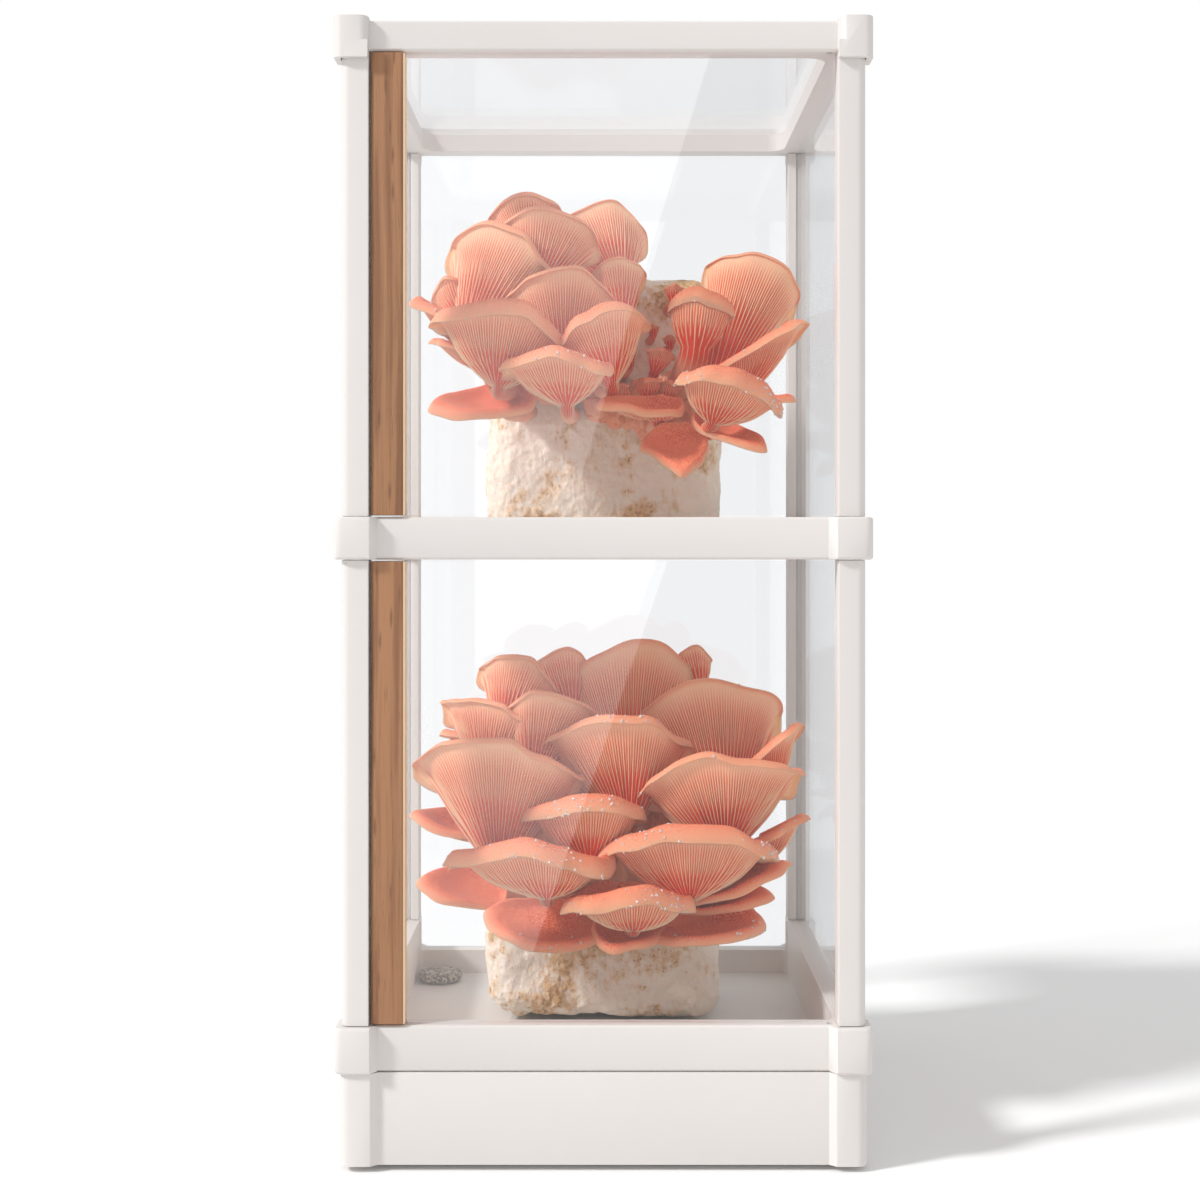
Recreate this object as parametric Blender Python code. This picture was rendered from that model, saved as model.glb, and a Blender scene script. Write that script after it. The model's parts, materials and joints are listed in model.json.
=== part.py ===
"""Two-tier grow cabinet with two blocks of pink oyster mushrooms.

Metres, +Z up, origin at the middle of the footprint on the surface it stands on.
The front, with its two hinged doors, faces -Y.
"""

from math import cos, pi, radians, sin

import bmesh
import bpy
import numpy as np
from mathutils import Euler, Vector

# ---------------------------------------------------------------- driving dimensions
WIDTH = 0.310            # over the corner blocks, both ways
HEIGHT = 0.664           # to the top of the corner blocks
FIT = 0.0003             # gap between pieces that touch

FOOT_HEIGHT = 0.0035
FOOT_RADIUS = 0.006
BASE_TOP = 0.057
RING_LOW = (BASE_TOP, 0.0835)
RING_MID = (0.352, 0.3765)
RING_TOP = (0.645, 0.6625)
COLLAR = 0.005           # how far a top corner block reaches down round its post

BLOCK = 0.023            # corner block, each way
RAIL_INSET = 0.007       # rails lie this far behind the corner blocks
POST = 0.016
POST_INSET = 0.004
CORNER_RADIUS = 0.005
INNER_HALF = 0.1345      # half the clear opening inside the rings
WALL = 0.003

FLOOR_LOW = 0.045        # tray floors, upper faces
FLOOR_MID = 0.359
BACK_LIP = 0.062         # the low back lip of the lower tray

PANE = 0.003
LID_OPENING = 0.131      # half the opening under the lid pane
LID_LEDGE = 0.6575       # height of the ledge the lid pane lies on
GROOVE_WIDTH = 0.0038
GROOVE_DEPTH = 0.004

DOOR_GAP = 0.001
DOOR_Y = -0.1425         # middle of the door pane
HINGE_X = 0.131
PIN_RADIUS = 0.0015
PIN_LENGTH = 0.003
STRIP_X = (-0.1339, -0.1144)
STRIP_Y = (-0.1495, -0.1355)
SLOT_DEPTH = 0.006

SUBSTRATE = (0.158, 0.106, 0.178)
SUBSTRATE_FRONT = -0.014
SUBSTRATE_RADIUS = 0.022

HALF = WIDTH / 2
POST_OUT = HALF - POST_INSET
POST_IN = POST_OUT - POST
POST_MID = POST_OUT - POST / 2


# ---------------------------------------------------------------- helpers
def clear_scene():
    for thing in list(bpy.data.objects):
        bpy.data.objects.remove(thing)


def principled(name, colour, roughness, metallic=0.0, transmission=0.0):
    """One Principled material; colour is linear RGB."""
    material = bpy.data.materials.new(name)
    material.use_nodes = True
    shader = material.node_tree.nodes["Principled BSDF"]
    shader.inputs["Base Color"].default_value = (*colour, 1.0)
    shader.inputs["Roughness"].default_value = roughness
    shader.inputs["Metallic"].default_value = metallic
    shader.inputs["Transmission Weight"].default_value = transmission
    return material


WHITE = (0.78, 0.75, 0.73)
CLEAR = (0.95, 0.96, 0.96)
OAK = (0.45, 0.22, 0.11)
PINK = (0.80, 0.27, 0.16)
STRAW = (0.83, 0.70, 0.55)


def new_object(name, mesh, colour, roughness, transmission=0.0):
    """Link a mesh as a piece with a material of its own."""
    piece = bpy.data.objects.new(name, mesh)
    bpy.context.scene.collection.objects.link(piece)
    mesh.materials.append(principled(name, colour, roughness, 0.0, transmission))
    return piece


def mesh_from(bm, name, smooth_angle=35):
    """Finish a bmesh: faces out, smooth where it is round."""
    bmesh.ops.recalc_face_normals(bm, faces=bm.faces)
    mesh = bpy.data.meshes.new(name)
    bm.to_mesh(mesh)
    bm.free()
    mesh.shade_smooth()
    mesh.set_sharp_from_angle(angle=radians(smooth_angle))
    return mesh


def arc(centre, radius, start, end, steps):
    """Plan points on an arc, angles in degrees."""
    points = []
    for step in range(steps + 1):
        angle = radians(start + (end - start) * step / steps)
        points.append((centre[0] + radius * cos(angle), centre[1] + radius * sin(angle)))
    return points


def rounded_square(half_x, half_y, radius, steps=4, centre=(0.0, 0.0)):
    """Counterclockwise plan outline with round corners."""
    points = []
    for quarter, (sx, sy) in enumerate(((1, 1), (-1, 1), (-1, -1), (1, -1))):
        corner = (centre[0] + sx * (half_x - radius), centre[1] + sy * (half_y - radius))
        points += arc(corner, radius, 90 * quarter, 90 * quarter + 90, steps)
    return points


def stepped_square(half, block, inset, radius, shrink=0.0, steps=3):
    """Plan outline of rails set back between four round-cornered corner blocks."""
    reach = half - shrink
    ease = 0.002
    quarter_points = [(reach - inset, half - block - ease), (reach, half - block + ease)]
    quarter_points += arc((reach - radius, reach - radius), radius, 0, 90, steps)
    quarter_points += [(half - block + ease, reach), (half - block - ease, reach - inset)]
    points = []
    for quarter in range(4):
        turn = (cos(quarter * pi / 2), sin(quarter * pi / 2))
        points += [(x * turn[0] - y * turn[1], x * turn[1] + y * turn[0]) for x, y in quarter_points]
    return points


def loop_at(bm, outline, height):
    return [bm.verts.new((x, y, height)) for x, y in outline]


def wall_between(bm, lower, upper):
    """Side faces between two loops of the same number of points."""
    count = len(lower)
    for index in range(count):
        after = (index + 1) % count
        bm.faces.new((lower[index], lower[after], upper[after], upper[index]))


def fill_between(bm, *loops):
    """A flat face bounded by one loop, or by an outer and an inner loop."""
    edges = []
    for loop in loops:
        for index, vert in enumerate(loop):
            after = loop[(index + 1) % len(loop)]
            edges.append(bm.edges.get((vert, after)) or bm.edges.new((vert, after)))
    bmesh.ops.triangle_fill(bm, use_beauty=True, edges=edges)


def prism(name, outline, low, high, colour, roughness=0.5, transmission=0.0):
    """An upright solid with the given plan outline."""
    bm = bmesh.new()
    bottom = loop_at(bm, outline, low)
    top = loop_at(bm, outline, high)
    wall_between(bm, bottom, top)
    fill_between(bm, bottom)
    fill_between(bm, top)
    return new_object(name, mesh_from(bm, name), colour, roughness, transmission)


def slab(name, low, high, colour, roughness=0.5, transmission=0.0):
    """A plain box between two corners."""
    outline = [(low[0], low[1]), (high[0], low[1]), (high[0], high[1]), (low[0], high[1])]
    return prism(name, outline, low[2], high[2], colour, roughness, transmission)


def helper(piece):
    """Mark an object as a cutter or an addition that is not a piece itself."""
    piece.hide_render = True
    piece.display_type = "WIRE"
    piece.data.materials.clear()
    return piece


def combine(piece, other, operation):
    modifier = piece.modifiers.new(operation.lower(), "BOOLEAN")
    modifier.operation = operation
    modifier.object = helper(other)
    modifier.solver = "EXACT"


# ---------------------------------------------------------------- rings, trays and base
def chamfered_outer(bm, low, high, edge=0.0012):
    """Outer wall of a ring with a small chamfer at both rims; returns bottom and top loops."""
    outline = stepped_square(HALF, BLOCK, RAIL_INSET, CORNER_RADIUS)
    small = stepped_square(HALF, BLOCK, RAIL_INSET, CORNER_RADIUS - edge, shrink=edge)
    loops = [
        loop_at(bm, small, low),
        loop_at(bm, outline, low + edge),
        loop_at(bm, outline, high - edge),
        loop_at(bm, small, high),
    ]
    for lower, upper in zip(loops, loops[1:]):
        wall_between(bm, lower, upper)
    return loops[0], loops[-1]


def tray(name, ring, floor, well_bottom):
    """A ring with a sunk floor moulded in one piece."""
    bm = bmesh.new()
    outer_low, outer_high = chamfered_outer(bm, *ring)
    inner = rounded_square(INNER_HALF, INNER_HALF, 0.006)
    under = rounded_square(INNER_HALF + WALL, INNER_HALF + WALL, 0.008)
    lip = loop_at(bm, inner, ring[1])
    floor_loop = loop_at(bm, inner, floor)
    fill_between(bm, outer_high, lip)
    wall_between(bm, floor_loop, lip)
    fill_between(bm, floor_loop)
    if well_bottom < ring[0]:
        shoulder = loop_at(bm, under, ring[0])
        well = loop_at(bm, under, well_bottom)
        fill_between(bm, outer_low, shoulder)
        wall_between(bm, well, shoulder)
        fill_between(bm, well)
    else:
        fill_between(bm, outer_low)
    return new_object(name, mesh_from(bm, name), WHITE, 0.45)


def pivot_hole(piece, height):
    """A blind hole for a door pin, across the face at this height."""
    outline = arc((HINGE_X, DOOR_Y), PIN_RADIUS + 0.0004, 0, 330, 11)
    depth = PIN_LENGTH + 0.0005
    cutter = prism(f"pivot_hole_{height * 1000:.0f}", outline, height - depth, height + depth, WHITE)
    combine(piece, cutter, "DIFFERENCE")


def build_rings():
    low = tray("lower_tray", RING_LOW, FLOOR_LOW, FLOOR_LOW - WALL)
    notch = slab(
        "back_lip_notch",
        (-POST_IN, INNER_HALF - 0.002, BACK_LIP),
        (POST_IN, HALF + 0.01, RING_LOW[1] + 0.01),
        WHITE,
    )
    combine(low, notch, "DIFFERENCE")
    pivot_hole(low, RING_LOW[1])

    middle = tray("middle_tray", RING_MID, FLOOR_MID, RING_MID[0])
    pivot_hole(middle, RING_MID[0])
    pivot_hole(middle, RING_MID[1])

    build_top_frame()


def build_top_frame():
    """Top ring with a rebate that the lid pane drops into, and a collar round each post."""
    bm = bmesh.new()
    edge = 0.0012
    rail = HALF - RAIL_INSET
    outer = [
        loop_at(bm, rounded_square(rail - pull, rail - pull, 0.001, 1), height)
        for height, pull in (
            (RING_TOP[0], edge), (RING_TOP[0] + edge, 0), (RING_TOP[1] - edge, 0), (RING_TOP[1], edge)
        )
    ]
    for lower, upper in zip(outer, outer[1:]):
        wall_between(bm, lower, upper)
    outer_low, outer_high = outer[0], outer[-1]
    opening = rounded_square(LID_OPENING, LID_OPENING, 0.012)
    rebate = rounded_square(INNER_HALF + 0.001, INNER_HALF + 0.001, 0.012)
    under = loop_at(bm, opening, RING_TOP[0])
    ledge_in = loop_at(bm, opening, LID_LEDGE)
    ledge_out = loop_at(bm, rebate, LID_LEDGE)
    rim = loop_at(bm, rebate, RING_TOP[1])
    fill_between(bm, outer_low, under)
    wall_between(bm, under, ledge_in)
    wall_between(bm, ledge_in, ledge_out)
    wall_between(bm, ledge_out, rim)
    fill_between(bm, outer_high, rim)
    frame = new_object("top_frame", mesh_from(bm, "top_frame"), WHITE, 0.45)
    pivot_hole(frame, RING_TOP[0])
    for sx in (-1, 1):
        for sy in (-1, 1):
            centre = (sx * (HALF + POST_IN) / 2, sy * (HALF + POST_IN) / 2)
            half = (HALF - POST_IN) / 2
            outline = rounded_square(half, half, CORNER_RADIUS, 3, centre)
            block = prism(f"corner_block_{sx}_{sy}", outline, RING_TOP[0], HEIGHT, WHITE)
            combine(frame, block, "UNION")
            wrap = [(sx * x, sy * y) for x, y in collar_outline()]
            collar = prism(f"collar_{sx}_{sy}", wrap, RING_TOP[0] - COLLAR, RING_TOP[0] + COLLAR, WHITE)
            combine(frame, collar, "UNION")


def collar_outline():
    """An angle in plan that laps the two outer faces of a post, at the +X +Y corner."""
    lap = POST_OUT + FIT
    points = [(POST_IN, lap), (lap, lap), (lap, POST_IN), (HALF, POST_IN)]
    points += arc((HALF - CORNER_RADIUS, HALF - CORNER_RADIUS), CORNER_RADIUS, 0, 90, 3)
    points += [(POST_IN, HALF)]
    return points


def build_base():
    """Housing open at the top and bottom, closed below by a plate on four feet."""
    bm = bmesh.new()
    half = POST_OUT + 0.001
    outline = stepped_square(half, 0.020, 0.0035, 0.006)
    inner = rounded_square(INNER_HALF + WALL + 0.001, INNER_HALF + WALL + 0.001, 0.008)
    low, high = FOOT_HEIGHT, BASE_TOP - FIT
    outer_low = loop_at(bm, outline, low)
    outer_high = loop_at(bm, outline, high)
    inner_low = loop_at(bm, inner, low)
    inner_high = loop_at(bm, inner, high)
    wall_between(bm, outer_low, outer_high)
    wall_between(bm, inner_low, inner_high)
    fill_between(bm, outer_low, inner_low)
    fill_between(bm, outer_high, inner_high)
    housing = new_object("base_housing", mesh_from(bm, "base_housing"), WHITE, 0.45)
    for slot in range(9):
        left = -0.048 + slot * 0.012
        cutter = slab(
            f"vent_slot_{slot}",
            (left - 0.0015, INNER_HALF, 0.018),
            (left + 0.0015, HALF + 0.01, 0.042),
            WHITE,
        )
        combine(housing, cutter, "DIFFERENCE")
    jack = prism("power_inlet", arc((0, 0), 0.004, 0, 330, 11), -0.03, 0.03, WHITE)
    jack.rotation_euler = (radians(90), 0, 0)
    jack.location = (0.105, HALF, 0.022)
    combine(housing, jack, "DIFFERENCE")

    plate_half = INNER_HALF + WALL + 0.001 - FIT
    plate = rounded_square(plate_half, plate_half, 0.0077)
    prism("base_plate", plate, FOOT_HEIGHT, FOOT_HEIGHT + WALL, WHITE, 0.5)

    spot = HALF - 0.0265
    for sx, side in ((-1, "left"), (1, "right")):
        for sy, end in ((-1, "front"), (1, "back")):
            outline = arc((sx * spot, sy * spot), FOOT_RADIUS, 0, 337.5, 15)
            prism(f"foot_{end}_{side}", outline, 0.0, FOOT_HEIGHT - FIT, (0.5, 0.5, 0.5), 0.8)


# ---------------------------------------------------------------- posts and panes
def post_outline(back):
    """Corner post in plan at the +X +Y corner, with a groove for each pane that it holds."""
    near, far = POST_IN, POST_OUT
    slot_low = POST_MID - GROOVE_WIDTH / 2
    slot_high = POST_MID + GROOVE_WIDTH / 2
    deep = near + GROOVE_DEPTH
    points = [(near, near), (slot_low, near), (slot_low, deep), (slot_high, deep), (slot_high, near)]
    points += [(far, near)]
    points += arc((far - CORNER_RADIUS, far - CORNER_RADIUS), CORNER_RADIUS, 0, 90, 5)
    points += [(near, far)]
    if back:
        points += [(near, slot_high), (deep, slot_high), (deep, slot_low), (near, slot_low)]
    return points


def build_posts():
    tiers = (
        ("lower", RING_LOW[1] + FIT, RING_MID[0] - FIT),
        ("upper", RING_MID[1] + FIT, RING_TOP[0] - FIT),
    )
    for tier, low, high in tiers:
        for sx, side in ((-1, "left"), (1, "right")):
            for sy, end in ((-1, "front"), (1, "back")):
                outline = [(sx * x, sy * y) for x, y in post_outline(end == "back")]
                prism(f"{tier}_post_{end}_{side}", outline, low, high, WHITE, 0.45)


def build_panes():
    reach = POST_IN + GROOVE_DEPTH - FIT
    thin = PANE / 2
    tiers = (("lower", RING_LOW[1], RING_MID[0]), ("upper", RING_MID[1], RING_TOP[0]))
    for tier, low, high in tiers:
        for sx, side in ((-1, "left"), (1, "right")):
            slab(
                f"{tier}_side_pane_{side}",
                (sx * POST_MID - thin, -reach, low + FIT),
                (sx * POST_MID + thin, reach, high - FIT),
                CLEAR, 0.05, 1.0,
            )
    for tier, low, high, edge in (
        ("lower", BACK_LIP, RING_MID[0], POST_IN - FIT),
        ("upper", RING_MID[1], RING_TOP[0], reach),
    ):
        outline = [(-edge, low + FIT), (edge, low + FIT)]
        if tier == "lower":
            shoulder = RING_LOW[1] + FIT
            outline += [(edge, shoulder), (reach, shoulder), (reach, high - FIT)]
            outline += [(-reach, high - FIT), (-reach, shoulder), (-edge, shoulder)]
        else:
            outline += [(edge, high - FIT), (-edge, high - FIT)]
        back_pane(f"{tier}_back_pane", outline)
    lid = rounded_square(INNER_HALF, INNER_HALF, 0.011)
    prism("lid_pane", lid, LID_LEDGE + FIT, LID_LEDGE + FIT + PANE, CLEAR, 0.05, 1.0)


def back_pane(name, outline):
    """An outline in X and Z, as thick as a pane, standing in the grooves of the back posts."""
    bm = bmesh.new()
    faces = (POST_MID - PANE / 2, POST_MID + PANE / 2)
    front, back = ([bm.verts.new((x, y, z)) for x, z in outline] for y in faces)
    wall_between(bm, front, back)
    fill_between(bm, front)
    fill_between(bm, back)
    new_object(name, mesh_from(bm, name), CLEAR, 0.05, 1.0)


# ---------------------------------------------------------------- doors
def build_door(tier, low, high):
    """A clear pane that turns on two moulded pins, with a wood grip on its free edge."""
    bottom, top = low + DOOR_GAP, high - DOOR_GAP
    slot_end = STRIP_X[1] - SLOT_DEPTH
    pane = slab(
        f"{tier}_door_pane",
        (slot_end + FIT, DOOR_Y - PANE / 2, bottom),
        (POST_IN - 0.0015, DOOR_Y + PANE / 2, top),
        CLEAR, 0.05, 1.0,
    )
    for end, start, stop in (
        ("bottom", bottom - PIN_LENGTH, bottom + 0.002),
        ("top", top - 0.002, top + PIN_LENGTH),
    ):
        outline = arc((HINGE_X, DOOR_Y), PIN_RADIUS, 0, 330, 11)
        pin = prism(f"{tier}_{end}_pin", outline, start, stop, CLEAR)
        combine(pane, pin, "UNION")

    slot_half = PANE / 2 + FIT
    edge = 0.0015
    outline = [
        (STRIP_X[0] + edge, STRIP_Y[0]), (STRIP_X[1] - edge, STRIP_Y[0]),
        (STRIP_X[1], STRIP_Y[0] + edge),
        (STRIP_X[1], DOOR_Y - slot_half), (slot_end, DOOR_Y - slot_half),
        (slot_end, DOOR_Y + slot_half), (STRIP_X[1], DOOR_Y + slot_half),
        (STRIP_X[1], STRIP_Y[1] - edge), (STRIP_X[1] - edge, STRIP_Y[1]),
        (STRIP_X[0] + edge, STRIP_Y[1]), (STRIP_X[0], STRIP_Y[1] - edge),
        (STRIP_X[0], STRIP_Y[0] + edge),
    ]
    prism(f"{tier}_wood_grip", outline, bottom, top, OAK, 0.55)


# ---------------------------------------------------------------- substrate and stone
def build_substrate(tier, floor):
    """A fruiting block: a bagged brick with round corners and a slightly uneven skin."""
    width, depth, height = SUBSTRATE
    radius = SUBSTRATE_RADIUS
    middle_y = SUBSTRATE_FRONT + depth / 2
    rows = ((0.0, 0.012), (0.004, 0.004), (0.016, 0.0), (height / 2, 0.0),
            (height - 0.030, 0.001), (height - 0.010, 0.008), (height, 0.024))
    bm = bmesh.new()
    loops = []
    for rise, pull in rows:
        outline = rounded_square(width / 2 - pull, depth / 2 - pull, radius, 4, (0.0, middle_y))
        loops.append(loop_at(bm, outline, floor + FIT + rise))
    for lower, upper in zip(loops, loops[1:]):
        wall_between(bm, lower, upper)
    fill_between(bm, loops[0])
    fill_between(bm, loops[-1])
    return new_object(f"{tier}_substrate_block", mesh_from(bm, f"{tier}_block"), STRAW, 0.9)


def build_stone():
    """A flat water-worn disc on the lower tray."""
    radius, thickness, steps = 0.0155, 0.008, 18
    bm = bmesh.new()
    loops = []
    for rise, share in ((0.0, 0.80), (0.25, 0.97), (0.6, 1.0), (0.9, 0.9), (1.0, 0.72)):
        outline = arc((-0.1175, 0.112), radius * share, 0, 360 - 360 / steps, steps - 1)
        loops.append(loop_at(bm, outline, FLOOR_LOW + FIT + rise * thickness))
    for lower, upper in zip(loops, loops[1:]):
        wall_between(bm, lower, upper)
    fill_between(bm, loops[0])
    fill_between(bm, loops[-1])
    new_object("porous_stone", mesh_from(bm, "porous_stone"), (0.45, 0.42, 0.38), 0.9)


# ---------------------------------------------------------------- oyster mushrooms
MM = 0.001
FACE = SUBSTRATE_FRONT / MM - 0.6    # stems start just clear of the front of the block

# Each mushroom, in millimetres: where its stem leaves the block (X, Z), its throat (X, Y, Z) where the
# gills run together, the way its front edge points and the way its funnel opens, the spread of the cap
# to the left and right, its reach in front and behind, the rise of the rim over the throat, and the curl
# of the margin.
LOWER_FLUSH = {
    "crown_fan": ((4, 202), (8, -48, 236), (0, -1, 1), (0.1, 0.7, 0.7), (38, 52), (34, 9), 54, 4),
    "right_crown_fan": ((38, 198), (56, -66, 222),
        (0.1, -1, 0.8), (0.15, 0.5, 0.8), (42, 54), (32, 9), 48, 5),
    "centre_funnel": ((14, 182), (18, -84, 204), (0, -1, 0.1), (0, 0.15, 1), (56, 33), (32, 8), 33, 7),
    "left_crown_fan": ((-28, 205), (-56, -38, 244),
        (-0.3, -1, 0.2), (0.33, 0.3, 0.9), (30, 24), (20, 8), 28, 5),
    "left_upper_fan": ((-48, 192), (-58, -66, 222),
        (-0.2, -1, 0.1), (0.33, 0.1, 0.94), (46, 20), (24, 7), 22, 5),
    "left_funnel": ((-36, 168), (-60, -92, 181),
        (-0.1, -1, 0.1), (0.13, 0.2, 0.97), (62, 42), (32, 9), 40, 7),
    "left_tongue": ((-60, 164), (-78, -60, 176),
        (-1, -0.3, 0.1), (0.1, -0.3, 0.95), (19, 19), (46, 8), 9, 4),
    "low_left_tongue": ((-56, 130), (-70, -44, 141),
        (-1, -0.3, 0), (0.1, -0.6, 0.8), (21, 21), (46, 8), 4, 4),
    "front_left_shelf": ((-28, 144), (-40, -106, 150),
        (0, -1, 0), (0, -0.2, 1), (55, 30), (24, 9), 17, 9),
    "small_centre_cap": ((-6, 164), (-8, -100, 180),
        (0, -1, 0), (0, -0.05, 1), (36, 31), (24, 9), 16, 7),
    "right_funnel": ((46, 170), (74, -94, 184),
        (0, -1, 0.1), (-0.08, 0.15, 1), (43, 50), (31, 8), 30, 6),
    "front_right_cap": ((34, 142), (52, -102, 145), (0, -1, 0), (0, 0, 1), (52, 50), (26, 9), 27, 9),
    "low_right_cap": ((56, 114), (60, -72, 122),
        (0.3, -1, -0.35), (0.05, -0.5, 0.86), (34, 40), (30, 8), 4, 5),
    "low_front_cap": ((10, 124), (18, -104, 128), (0, -1, 0), (0, -0.3, 1), (40, 35), (22, 8), 8, 8),
    "smooth_low_cap": ((-26, 108), (-32, -66, 125),
        (-0.1, -1, -0.6), (0, -0.75, 0.66), (38, 36), (30, 8), 2, 5),
}
UPPER_FLUSH = {
    "crown_fan": ((0, 514), (10, -30, 540), (0, -1, 1), (-0.15, 0.7, 0.7), (38, 22), (20, 8), 38, 4),
    "back_fan": ((-32, 516), (-44, -22, 554), (0, -1, 0.5), (0, 0.5, 0.85), (25, 15), (12, 6), 20, 3),
    "left_fan": ((-48, 494), (-68, -48, 506),
        (-0.3, -1, 0.5), (0.2, 0.45, 0.85), (44, 18), (24, 8), 38, 4),
    "centre_funnel": ((-20, 484), (-24, -72, 480),
        (0, -1, 0.3), (0, 0.3, 0.95), (38, 30), (24, 8), 37, 5),
    "right_small_fan": ((10, 490), (12, -50, 504),
        (0, -1, 0.4), (0, 0.4, 0.9), (20, 15), (14, 6), 28, 3),
    "far_left_tongue": ((-66, 464), (-80, -60, 480),
        (-1, -0.3, 0.3), (0.25, -0.1, 0.95), (17, 17), (38, 6), 12, 4),
    "left_shelf": ((-46, 456), (-62, -92, 466), (0, -1, 0), (0.1, 0.1, 1), (44, 28), (27, 8), 24, 8),
    "low_left_cap": ((-60, 430), (-68, -58, 444),
        (-1, -0.5, -0.1), (-0.1, -0.5, 0.85), (20, 22), (38, 8), 3, 4),
    "front_funnel": ((-20, 432), (-22, -102, 446), (0, -1, 0), (0, -0.1, 1), (41, 30), (24, 8), 15, 8),
    "tall_right_fan": ((60, 472), (78, -30, 486),
        (0.3, -1, 0.6), (0.25, 0.6, 0.8), (24, 32), (22, 8), 54, 4),
    "trumpet": ((38, 454), (57, -70, 480), (0, -1, 0), (0, 0.1, 1), (18, 20), (14, 9), 22, 6),
    "long_right_tongue": ((68, 436), (88, -62, 454),
        (0.85, -0.3, 0.45), (-0.4, 0.3, 0.85), (18, 18), (42, 7), 14, 4),
    "dewy_cap": ((50, 424), (66, -98, 436), (0.2, -1, 0), (0.2, -0.3, 0.9), (28, 32), (22, 8), 12, 7),
    "hanging_cap": ((26, 406), (40, -78, 420),
        (-0.1, -0.5, -0.85), (0, -0.85, 0.5), (24, 20), (28, 8), 2, 4),
}
SEGMENTS = 11
STEM_RADIUS = 5.5
FLESH = 3.6
RIM_RING = 6            # which ring is the rim: two up the stem, then shares 0 to 1


def unit(vector):
    vector = np.array(vector, float)
    return vector / np.linalg.norm(vector)


def gill_height(share, rise, curl, fronts):
    """Height of the gill side over the throat, from the stem (0) to the rim (1); lower behind."""
    trumpet = rise * (1 - (1 - share) ** 1.4) * (1 + 0.6 * np.minimum(fronts, 0))
    return trumpet + curl * 17.65 * share ** 6 * (1 - share)


def flesh_height(share, rise):
    """Thickness of the cap over its gills: thin at the rim, a deep hollow over the stem."""
    return FLESH * (1 - share) ** 0.33 + 0.35 * rise * (1 - share) ** 4


def mushroom_loops(foot, throat, forward, opening, spread, reach, rise, curl):
    """Rings of points from the foot, up the stem, out under the cap and back over its top."""
    up = unit(opening)
    front = np.array(forward, float)
    front = unit(front - front.dot(up) * up)
    right = np.cross(up, front)
    throat = np.array(throat, float)
    start = np.array((foot[0], FACE, foot[1]), float)
    turns = np.arange(SEGMENTS) * 2 * pi / SEGMENTS
    sides, fronts = np.sin(turns), np.cos(turns)
    rim_side = sides * np.where(sides > 0, spread[1], spread[0])
    rim_front = fronts * np.where(fronts > 0, reach[0], reach[1])

    loops = []
    for step in (0.0, 0.55):
        lead = throat - up * 15
        centre = start * (1 - step) ** 2 + lead * 2 * step * (1 - step) + throat * step ** 2
        axis = unit((lead - start) * (1 - step) + (throat - lead) * step)
        if step == 0.0:
            axis = np.array((0.0, -1.0, 0.0))
        across = unit(right - right.dot(axis) * axis)
        ahead = np.cross(across, axis)
        loops.append(centre + STEM_RADIUS * (np.outer(sides, across) + np.outer(fronts, ahead)))

    def ring(share, height):
        side = (1 - share) * STEM_RADIUS * sides + share * rim_side
        ahead = (1 - share) * STEM_RADIUS * fronts + share * rim_front
        return throat + np.outer(side, right) + np.outer(ahead, front) + np.outer(height, up)

    for share in (0.0, 0.22, 0.55, 0.86, 1.0):
        loops.append(ring(share, gill_height(share, rise, curl, fronts)))
    for share in (0.86, 0.45):
        height = gill_height(share, rise, curl, fronts) + flesh_height(share, rise)
        loops.append(ring(share, height))
    crown = throat + up * (flesh_height(0.0, rise))
    return loops, start, crown


def skin_between(bm, lower, upper, over_the_top):
    """Triangles between two rings; the top's diagonals mirror the gill side's, so thin flesh stays apart."""
    for index in range(SEGMENTS):
        after = (index + 1) % SEGMENTS
        if over_the_top:
            bm.faces.new((lower[index], lower[after], upper[index]))
            bm.faces.new((lower[after], upper[after], upper[index]))
        else:
            bm.faces.new((lower[index], lower[after], upper[after]))
            bm.faces.new((lower[index], upper[after], upper[index]))


def build_mushroom(name, spec):
    loops, foot, crown = mushroom_loops(*spec)
    bm = bmesh.new()
    rings = [[bm.verts.new(Vector(point) * MM) for point in loop] for loop in loops]
    for index, (lower, upper) in enumerate(zip(rings, rings[1:])):
        skin_between(bm, lower, upper, over_the_top=index >= RIM_RING)
    for ring, centre in ((rings[0], foot), (rings[-1], crown)):
        pole = bm.verts.new(Vector(centre) * MM)
        for index, vert in enumerate(ring):
            bm.faces.new((vert, ring[(index + 1) % SEGMENTS], pole))
    return new_object(name, mesh_from(bm, name, 60), PINK, 0.6)


# ---------------------------------------------------------------- build
clear_scene()
build_base()
build_rings()
build_posts()
build_panes()
build_door("lower", RING_LOW[1], RING_MID[0])
build_door("upper", RING_MID[1], RING_TOP[0])
build_substrate("lower", FLOOR_LOW)
build_substrate("upper", FLOOR_MID)
build_stone()
for tier, flush in (("lower", LOWER_FLUSH), ("upper", UPPER_FLUSH)):
    for title, spec in flush.items():
        build_mushroom(f"{tier}_{title}", spec)
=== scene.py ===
"""Looks for the two-tier mushroom grow cabinet. Metres, +Z up, the doors face -Y."""

import json
from math import cos, pi, radians, sin

import bmesh
import bpy
import numpy as np
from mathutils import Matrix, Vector, noise


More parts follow.
